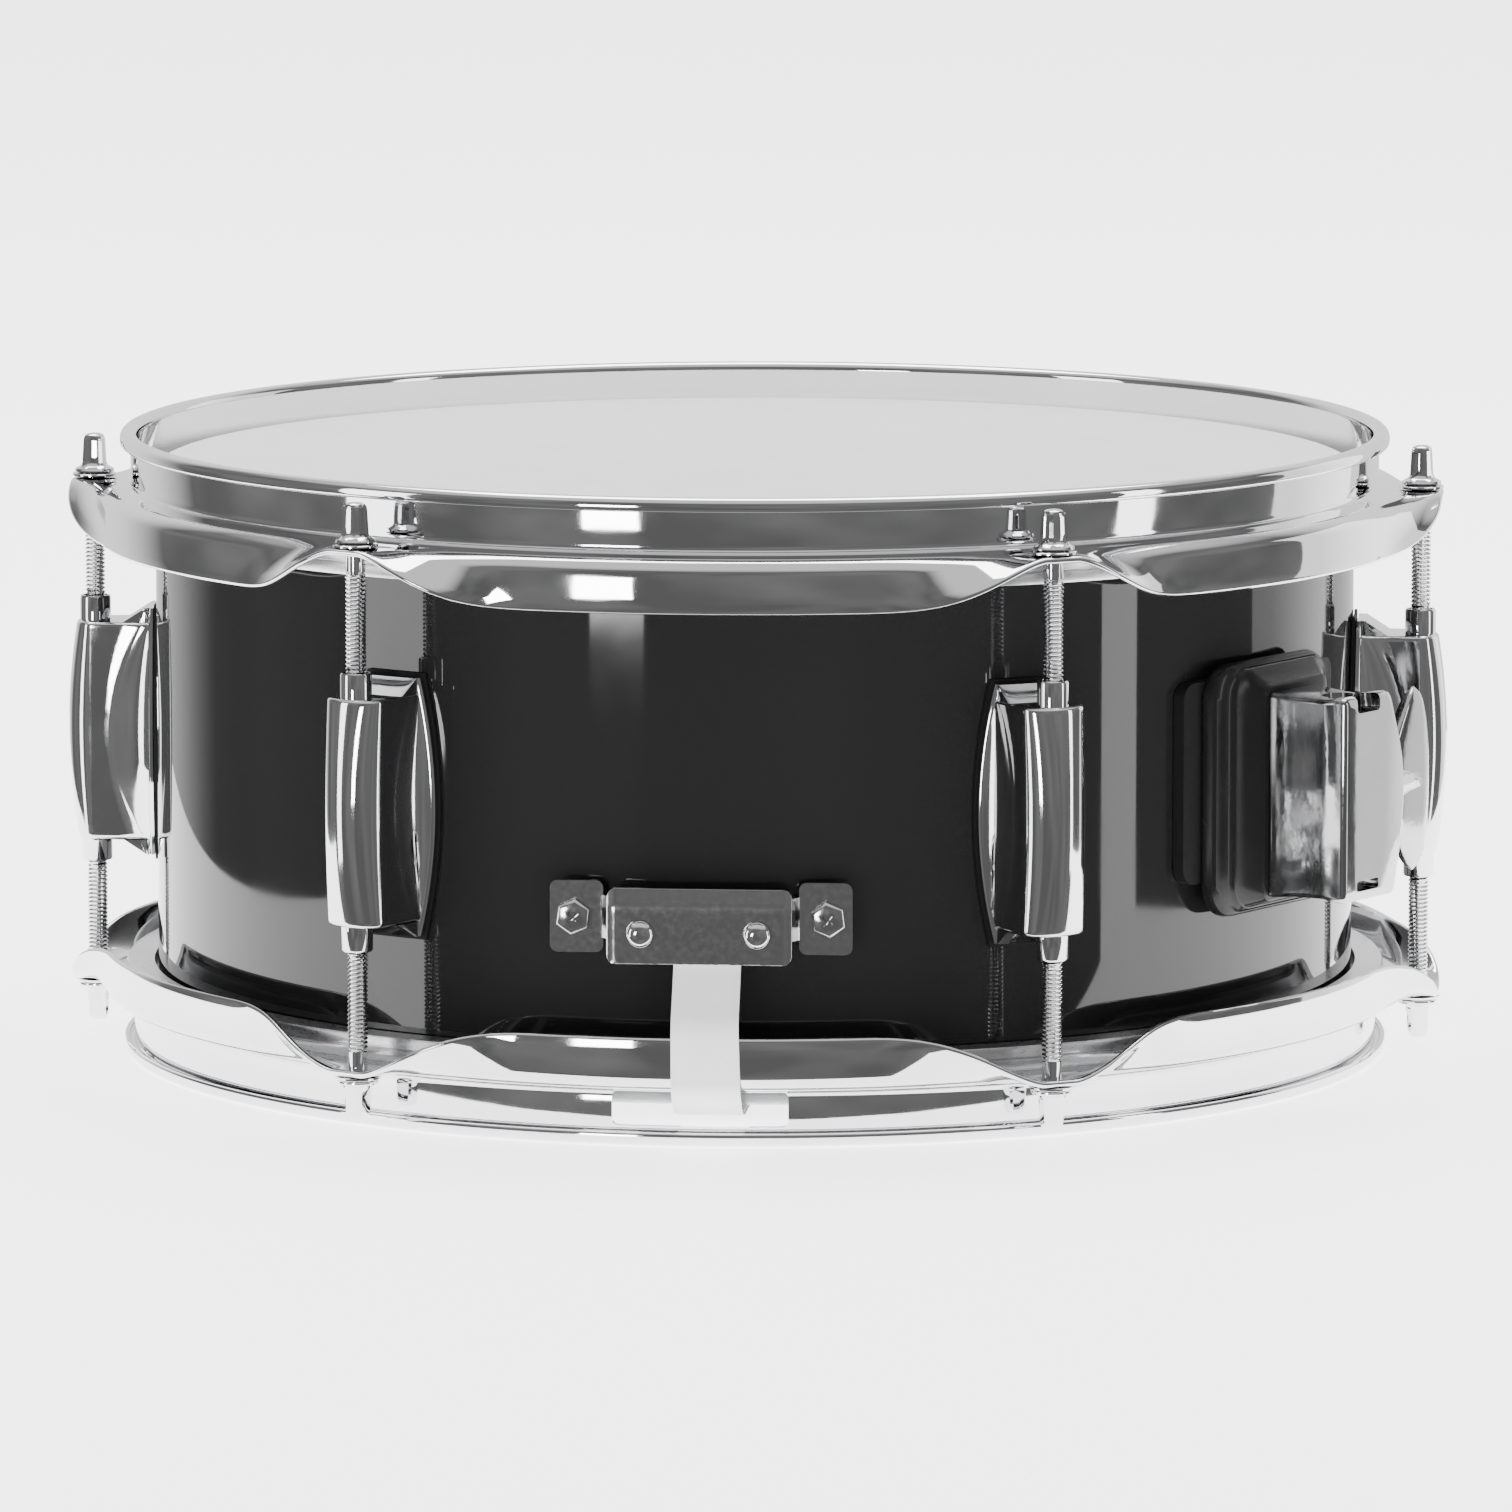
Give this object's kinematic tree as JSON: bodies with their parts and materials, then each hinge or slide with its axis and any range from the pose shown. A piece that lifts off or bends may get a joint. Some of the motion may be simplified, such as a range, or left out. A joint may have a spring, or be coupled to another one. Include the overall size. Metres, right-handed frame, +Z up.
{
  "type": "snare drum",
  "caption": "Side snare drum: lacquered wood shell, flanged chrome hoops, coated batter head, double-ended lugs, snares with throw-off, and a rod mounting bracket.",
  "frame": {"origin": "centre of the batter head's playing face, on the drum's axis", "axes": "+Z up out of the batter head along the drum's axis; -Y towards the butt plate, +Y towards the strainer, +X to the side that has the mounting bracket"},
  "size_m": [0.353, 0.3479, 0.1584],
  "materials": {
    "shell_lacquer": "high-gloss black lacquer over wood plies",
    "chrome": "mirror chrome plate",
    "plated_steel": "bright nickel plate with fine pitting and scratches",
    "coated_film": "white sprayed coating with a fine rough tooth",
    "clear_film": "thin hazy clear film",
    "aluminium": "satin",
    "rubber": "matt moulded rubber",
    "black_plastic": "moulded satin gloss",
    "strap_plastic": "milky translucent film",
    "snare_steel": "bright drawn wire"
  },
  "bodies": {
    "drum": {"shell": "shell_lacquer", "vent_grommet": "chrome", "batter_head": "coated_film", "snare_head": "clear_film", "batter_flesh_hoop": "aluminium", "snare_flesh_hoop": "aluminium", "batter_hoop": "chrome", "snare_hoop": "chrome", "lug_1": "chrome", "lug_2": "chrome", "lug_3": "chrome", "lug_4": "chrome", "lug_5": "chrome", "lug_6": "chrome", "lug_gasket_1": "rubber", "lug_gasket_2": "rubber", "lug_gasket_3": "rubber", "lug_gasket_4": "rubber", "lug_gasket_5": "rubber", "lug_gasket_6": "rubber", "butt_bracket": "plated_steel", "butt_clamp_plate": "plated_steel", "butt_clamp_screw_1": "chrome", "butt_clamp_screw_2": "chrome", "butt_mount_screw_1": "plated_steel", "butt_mount_screw_2": "plated_steel", "butt_strap": "strap_plastic", "strainer_gasket": "rubber", "strainer_body": "chrome", "strainer_pin": "chrome", "bracket_gasket": "rubber", "bracket_base": "black_plastic", "bracket_body": "chrome"},
    "batter_tension_1": {"batter_rod_1": "chrome"},
    "batter_tension_2": {"batter_rod_2": "chrome"},
    "batter_tension_3": {"batter_rod_3": "chrome"},
    "batter_tension_4": {"batter_rod_4": "chrome"},
    "batter_tension_5": {"batter_rod_5": "chrome"},
    "batter_tension_6": {"batter_rod_6": "chrome"},
    "snare_tension_1": {"snare_rod_1": "chrome"},
    "snare_tension_2": {"snare_rod_2": "chrome"},
    "snare_tension_3": {"snare_rod_3": "chrome"},
    "snare_tension_4": {"snare_rod_4": "chrome"},
    "snare_tension_5": {"snare_rod_5": "chrome"},
    "snare_tension_6": {"snare_rod_6": "chrome"},
    "throw_lever": {"strainer_lever": "chrome"},
    "throw_slide": {"strainer_slide": "chrome", "strainer_clamp_plate": "chrome", "strainer_clamp_screw_1": "chrome", "strainer_clamp_screw_2": "chrome", "strainer_strap": "strap_plastic"},
    "snares": {"snare_wires": "snare_steel"},
    "tension_knob": {"strainer_knob": "chrome"},
    "rod_clamp": {"bracket_wing_bolt": "chrome"}
  },
  "joints": [
    {"name": "batter_rod_1_turn", "type": "hinge", "parent": "drum", "child": "batter_tension_1", "pos_m": [-0.08475, 0.14679, -0.0056], "axis": [0, 0, 1], "continuous": true},
    {"name": "batter_rod_2_turn", "type": "hinge", "parent": "drum", "child": "batter_tension_2", "pos_m": [-0.1695, 0, -0.0056], "axis": [0, 0, 1], "continuous": true},
    {"name": "batter_rod_3_turn", "type": "hinge", "parent": "drum", "child": "batter_tension_3", "pos_m": [-0.08475, -0.14679, -0.0056], "axis": [0, 0, 1], "continuous": true},
    {"name": "batter_rod_4_turn", "type": "hinge", "parent": "drum", "child": "batter_tension_4", "pos_m": [0.08475, -0.14679, -0.0056], "axis": [0, 0, 1], "continuous": true},
    {"name": "batter_rod_5_turn", "type": "hinge", "parent": "drum", "child": "batter_tension_5", "pos_m": [0.1695, 0, -0.0056], "axis": [0, 0, 1], "continuous": true},
    {"name": "batter_rod_6_turn", "type": "hinge", "parent": "drum", "child": "batter_tension_6", "pos_m": [0.08475, 0.14679, -0.0056], "axis": [0, 0, 1], "continuous": true},
    {"name": "snare_rod_1_turn", "type": "hinge", "parent": "drum", "child": "snare_tension_1", "pos_m": [-0.08475, 0.14679, -0.1352], "axis": [0, 0, 1], "continuous": true},
    {"name": "snare_rod_2_turn", "type": "hinge", "parent": "drum", "child": "snare_tension_2", "pos_m": [-0.1695, 0, -0.1352], "axis": [0, 0, 1], "continuous": true},
    {"name": "snare_rod_3_turn", "type": "hinge", "parent": "drum", "child": "snare_tension_3", "pos_m": [-0.08475, -0.14679, -0.1352], "axis": [0, 0, 1], "continuous": true},
    {"name": "snare_rod_4_turn", "type": "hinge", "parent": "drum", "child": "snare_tension_4", "pos_m": [0.08475, -0.14679, -0.1352], "axis": [0, 0, 1], "continuous": true},
    {"name": "snare_rod_5_turn", "type": "hinge", "parent": "drum", "child": "snare_tension_5", "pos_m": [0.1695, 0, -0.1352], "axis": [0, 0, 1], "continuous": true},
    {"name": "snare_rod_6_turn", "type": "hinge", "parent": "drum", "child": "snare_tension_6", "pos_m": [0.08475, 0.14679, -0.1352], "axis": [0, 0, 1], "continuous": true},
    {"name": "lever_swing", "type": "hinge", "parent": "drum", "child": "throw_lever", "pos_m": [0, 0.167, -0.0864], "axis": [-1, 0, 0], "range_deg": [0, 80]},
    {"name": "slide_travel", "type": "slide", "parent": "drum", "child": "throw_slide", "axis": [0, 0, -1], "range_m": [0, 0.0022]},
    {"name": "snares_drop", "type": "hinge", "parent": "drum", "child": "snares", "pos_m": [0, -0.1262, -0.1424], "axis": [-1, 0, 0], "range_deg": [0, 0.51]},
    {"name": "knob_turn", "type": "hinge", "parent": "throw_slide", "child": "tension_knob", "pos_m": [0, 0.161, -0.0484], "axis": [0, 0, 1], "continuous": true},
    {"name": "wing_bolt_turn", "type": "hinge", "parent": "drum", "child": "rod_clamp", "pos_m": [0.15415, -0.089, -0.0709], "axis": [0.5, 0.866, 0], "continuous": true}
  ],
  "couplings": [
    {"joint": "slide_travel", "follows": "lever_swing", "m_per_rad": 0.00157},
    {"joint": "snares_drop", "follows": "lever_swing", "ratio": 0.0062}
  ]
}
